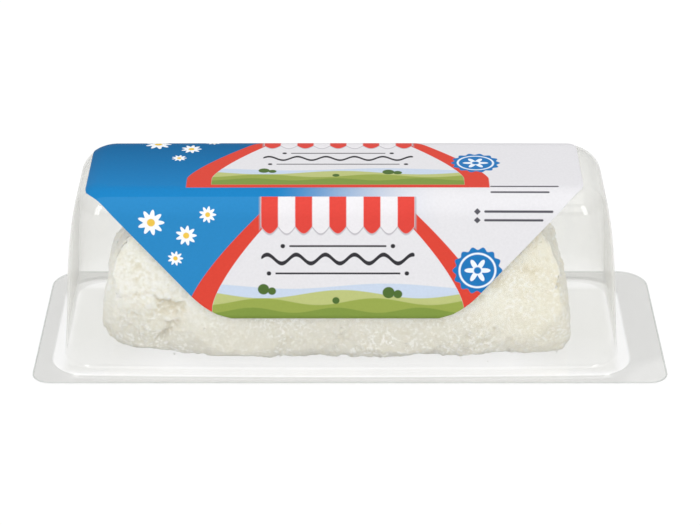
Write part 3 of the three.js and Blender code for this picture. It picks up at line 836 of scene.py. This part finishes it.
    # daisies on the blue, and a blue rosette on the pale side
    for daisy_x, daisy_up, size in ((-49.0, 11.6, 3.3), (-40.4, 8.2, 2.6), (-35.0, 13.6, 2.1), (-43.2, 2.2, 1.9)):
        middle, heart = (daisy_x, daisy_up), 0.3 * size
        colour = laid_over(
            tree, colour, (DAISY_INK, printed_flower(tree, place, middle, size, 9, 0.2)),
            (DAISY_HEART_INK, printed_patch(tree, place, middle, (heart, heart), heart)),
        )
    for ink, radius, petals, depth in (
        (ROSETTE_INK, 6.2, 14, 0.06), (ROSETTE_PALE_INK, 4.7, 14, 0.0), (ROSETTE_INK, 4.2, 14, 0.0),
        (ROSETTE_PALE_INK, 3.2, 6, 0.3), (ROSETTE_INK, 0.9, 6, 0.0),
    ):
        rosette = printed_flower(tree, place, (31.6, -1.0), radius, petals, depth)
        colour = laid_over(tree, colour, (ink, rosette))

    # two fine rules on the pale field of each flap, and two near the front of the top
    for bar_x, bar_up, reach_x in ((41.5, 14.4, 8.5), (40.3, 12.2, 7.3)):
        rule = printed_patch(tree, place, (bar_x, bar_up), (reach_x, 0.3), 0.3)
        mark = printed_patch(tree, place, (bar_x - reach_x - 1.7, bar_up), (0.6, 0.6), 0.2, tilt=45.0)
        both = add(tree, "ShaderNodeMath", {0: rule, 1: mark}, operation="MAXIMUM")
        both = add(tree, "ShaderNodeMath", {0: both, 1: flap}, operation="MULTIPLY")
        on_top_place = (bar_x + 1.6, bar_up - 26.4)
        rule_on_top = printed_patch(tree, sheet, on_top_place, (reach_x, 0.28), 0.3)
        colour = laid_over(tree, colour, (GREY_INK, both), (GREY_INK, rule_on_top))

    # the press leaves a faint grain in the inks, and the paper's fibres a faint relief
    grain = add(tree, "ShaderNodeTexNoise", {"Vector": sheet, "Scale": 1 / 0.7, "Detail": 2.0})
    grain = add(tree, "ShaderNodeMapRange", {0: grain, 1: 0.3, 2: 0.7, 3: 0.975, 4: 1.015})
    grain = add(tree, "ShaderNodeCombineXYZ", {0: grain, 1: grain, 2: grain})
    colour = add(tree, "ShaderNodeVectorMath", {0: colour, 1: grain}, operation="MULTIPLY")
    cockle = add(tree, "ShaderNodeTexNoise", {"Vector": sheet, "Scale": 1 / 16.0, "Detail": 1.0})
    bump = add(tree, "ShaderNodeBump", {"Height": cockle, "Distance": 0.2 * MM, "Strength": 1.0})
    shader = add(tree, "ShaderNodeBsdfPrincipled", {
        "Base Color": colour, "Roughness": 0.4, "IOR": 1.5, "Specular IOR Level": 0.06, "Normal": bump,
    })
    tree.links.new(shader.outputs[0], output.inputs["Surface"])
    return material


def bare_paper():
    """The label's inner side, uncoated white paper: matt, with a faint fleck of fibres."""
    material, tree, output = new_material("uncoated_white_paper")
    sheet = add(tree, "ShaderNodeAttribute", attribute_name="sheet_place").outputs["Vector"]
    fibres = add(tree, "ShaderNodeTexNoise", {"Vector": sheet, "Scale": 1 / 0.6, "Detail": 4.0})
    colour = laid_over(tree, "d6d6d4", ("e6e6e4", fibres))
    bump = add(tree, "ShaderNodeBump", {"Height": fibres, "Distance": 0.03 * MM, "Strength": 1.0})
    shader = add(tree, "ShaderNodeBsdfPrincipled", {
        "Base Color": colour, "Roughness": 0.85, "IOR": 1.5, "Specular IOR Level": 0.2, "Normal": bump,
    })
    tree.links.new(shader.outputs[0], output.inputs["Surface"])
    return material


# Clear PET, thermoformed: it greys what is behind it a little, and its surface ripples and shines. Towards its two
# ends, at their back and higher up, it is darkened with painted shade.
formed_pet = clear_sheet(
    "thermoformed_clear_pet", "fbfbfa", "fdfdfc", gloss_at_edge=0.12, roughness=0.05, ripple_width=12.0,
    ripple_height=0.35, haze=(0.03, 0.42), painted_shade_at_ends=("f8f8f7", (("behind", -6.0, 6.0), ("up", 7.0, 19.0))),
)
# The same sheet where it is sealed to the film: two skins with a dull seal between them. It isn't sealed
# in the front right corner, where the pack is peeled open.
sealed_pet = clear_sheet(
    "heat_sealed_clear_pet", "f2f2f1", "f0f0ef", gloss_at_edge=0.2, roughness=0.14, ripple_width=9.0,
    ripple_height=0.12, unsealed=(82.5, -31.5, 14.5, "f6f6f5"),
)
# The cut edge of the two, which gathers light and shows as a grey line.
cut_edge = clear_sheet(
    "cut_pet_edge", "f1f2f1", "e6e8e6", gloss_at_edge=0.3, roughness=0.2, ripple_width=9.0, ripple_height=0.05,
)
# Clear laminate film, flat and soft, which shows the surface under it almost unchanged, except for painted shade
# towards its two ends inside the foot.
lidding_film = clear_sheet(
    "clear_laminate_film", WHITE, WHITE, gloss_at_edge=0.1, roughness=0.12, ripple_width=22.0, ripple_height=0.1,
    painted_shade_at_ends=("f9f9f8", (("along", 71.0, 69.0), ("across", 23.0, 21.0))),
)
log_curd = goat_curd("fresh_goat_curd", True)
crumb_curd = goat_curd("goat_curd_crumbs", False)
paper = printed_paper()
paper_back = bare_paper()


# ---- pieces

dome = dome_mesh()
finish_piece("clear_dome", dome, [formed_pet, sealed_pet, cut_edge], ["dome"])

finish_piece("folded_label", label_mesh([paper, paper_back]), [], ["label"])

log = log_mesh(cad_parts["cheese_log"])
log_piece = finish_piece("cheese_log_crumbly", log, [log_curd], ["cheese_log"])

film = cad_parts["base_film"]
film.data.materials.clear()
film.data.materials.append(lidding_film)

# The log's own crumbs are strewn on a copy of its faces, and the loose ones on the film inside the foot.
crumbs_on_log = strewn_crumbs("log_crumbs", log.copy(), False, {
    "Crumb Size": 0.6 * MM, "Crumbs Per Square Metre": 30000.0, "Seed": 3, "Curd": crumb_curd,
})
finish_piece("log_crumbs", crumbs_on_log, [])

CORNERS = ((-1, -1), (1, -1), (1, 1), (-1, 1))
REACH_X, REACH_Y, CRUMBS_Z = (FOOT_REACH_X - 6) * MM, (FOOT_REACH_Y - 4.6) * MM, (FILM_TOP + 0.28) * MM
film_patch = bpy.data.meshes.new("film_inside_foot")
film_patch.from_pydata([
    (DOME_X * MM + sx * REACH_X, DOME_Y * MM + sy * REACH_Y, CRUMBS_Z) for sx, sy in CORNERS
], [], [(0, 1, 2, 3)])
crumbs_on_film = strewn_crumbs("film_crumbs", film_patch, True, {
    "Log": log_piece, "Crumb Size": 0.8 * MM, "Crumbs Per Square Metre": 16000.0,
    "Reach From Log": 5.0 * MM, "Seed": 8, "Curd": crumb_curd,
})
finish_piece("film_crumbs", crumbs_on_film, [])


# ---- studio: a white floor and soft light from above and in front

def studio_floor():
    """White paper, lit from below to an even white where it is seen, with a faint shadow. To the pack it throws its
    own share of the studio's light."""
    material, tree, output = new_material("white_studio_paper")
    seen = add(tree, "ShaderNodeLightPath").outputs["Is Camera Ray"]
    matt = add(tree, "ShaderNodeBsdfDiffuse", {"Color": srgb("e4e4e4")})
    shadowed = add(tree, "ShaderNodeBsdfDiffuse", {"Color": srgb("5f5f5f")})
    glow = add(tree, "ShaderNodeEmission", {"Strength": 0.91})
    lit = add(tree, "ShaderNodeAddShader", {0: shadowed, 1: glow})
    lit = add(tree, "ShaderNodeMixShader", {0: seen, 1: matt, 2: lit})
    tree.links.new(lit.outputs[0], output.inputs["Surface"])
    mesh = bpy.data.meshes.new("studio_floor")
    mesh.from_pydata([(3.0 * x, 3.0 * y, -0.0003) for x, y in CORNERS], [], [(0, 1, 2, 3)])
    mesh.materials.append(material)
    floor = bpy.data.objects.new("studio_floor", mesh)
    scene.collection.objects.link(floor)


PACK_MIDDLE = Vector((0.0, 0.0, 0.02))


def softbox(name, place, size, watts):
    """A soft light that is aimed at the middle of the pack."""
    light = bpy.data.lights.new(name, "AREA")
    light.shape = "RECTANGLE"
    light.size, light.size_y = size
    light.energy = watts
    lamp = bpy.data.objects.new(name, light)
    lamp.location = place
    lamp.rotation_euler = (PACK_MIDDLE - Vector(place)).to_track_quat("-Z", "Y").to_euler()
    scene.collection.objects.link(lamp)


def studio_world():
    """White overhead and grey near the horizon, so that the clear sheet has something to show."""
    world = bpy.data.worlds.new("studio_world")
    world.use_nodes = True
    tree = world.node_tree
    tree.nodes.clear()
    towards = add(tree, "ShaderNodeTexCoord").outputs["Generated"]
    up = add(tree, "ShaderNodeSeparateXYZ", {0: towards}).outputs[2]
    rise = add(tree, "ShaderNodeMapRange", {0: up, 1: 0.0, 2: 0.75, 3: 0.42, 4: 0.78})
    sky = add(tree, "ShaderNodeBackground", {"Color": (1.0, 1.0, 1.0, 1.0), "Strength": rise})
    add(tree, "ShaderNodeOutputWorld", {0: sky})
    scene.world = world


studio_floor()
studio_world()
softbox("overhead_softbox", (0.0, -0.15, 0.95), (1.3, 1.0), 3.1)
softbox("camera_side_softbox", (0.0, -1.1, 0.62), (1.2, 0.5), 1.4)
softbox("front_left_softbox", (-0.62, -0.72, 0.38), (0.3, 0.7), 1.95)
softbox("front_right_softbox", (0.62, -0.72, 0.38), (0.3, 0.7), 1.9)
scene.view_settings.view_transform = "Standard"
scene.cycles.transparent_max_bounces = 24
